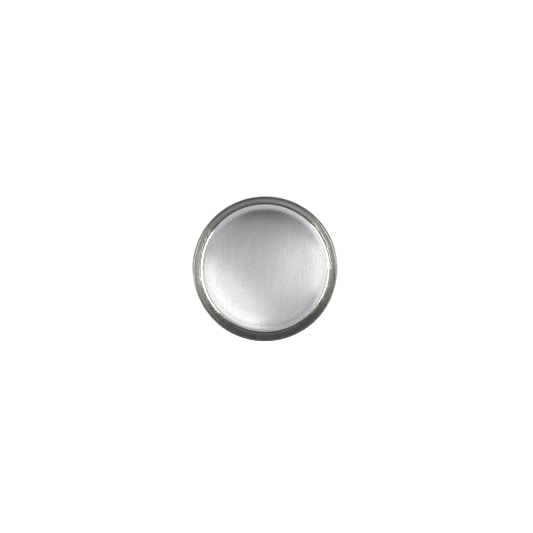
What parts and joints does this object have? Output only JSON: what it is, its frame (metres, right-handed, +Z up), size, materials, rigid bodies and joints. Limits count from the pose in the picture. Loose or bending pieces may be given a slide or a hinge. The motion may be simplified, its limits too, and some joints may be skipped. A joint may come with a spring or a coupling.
{
  "type": "candle tin",
  "caption": "Seamless round candle tin with a curled rim, standing open in its upturned slip lid and lifting straight out of it.",
  "frame": {"origin": "on the table under the centre of the upturned lid, which is the lowest point of the object", "axes": "+Z up along the common axis of the tin and its lid, out of the tin's mouth; +Y and +X across the tin, with +Y along the rolling grain of the sheet"},
  "size_m": [0.0832, 0.0832, 0.0524],
  "materials": {
    "body_tinplate": "satin tinplate with a faint straight rolling grain, drawn smoother up the wall",
    "lid_tinplate": "satin tinplate with a faint straight rolling grain"
  },
  "bodies": {
    "lid": {"lid": "lid_tinplate"},
    "tin": {"tin_body": "body_tinplate"}
  },
  "joints": [
    {"name": "body_lift", "type": "slide", "parent": "lid", "child": "tin", "axis": [0, 0, 1], "range_m": [0, 0.03]}
  ]
}
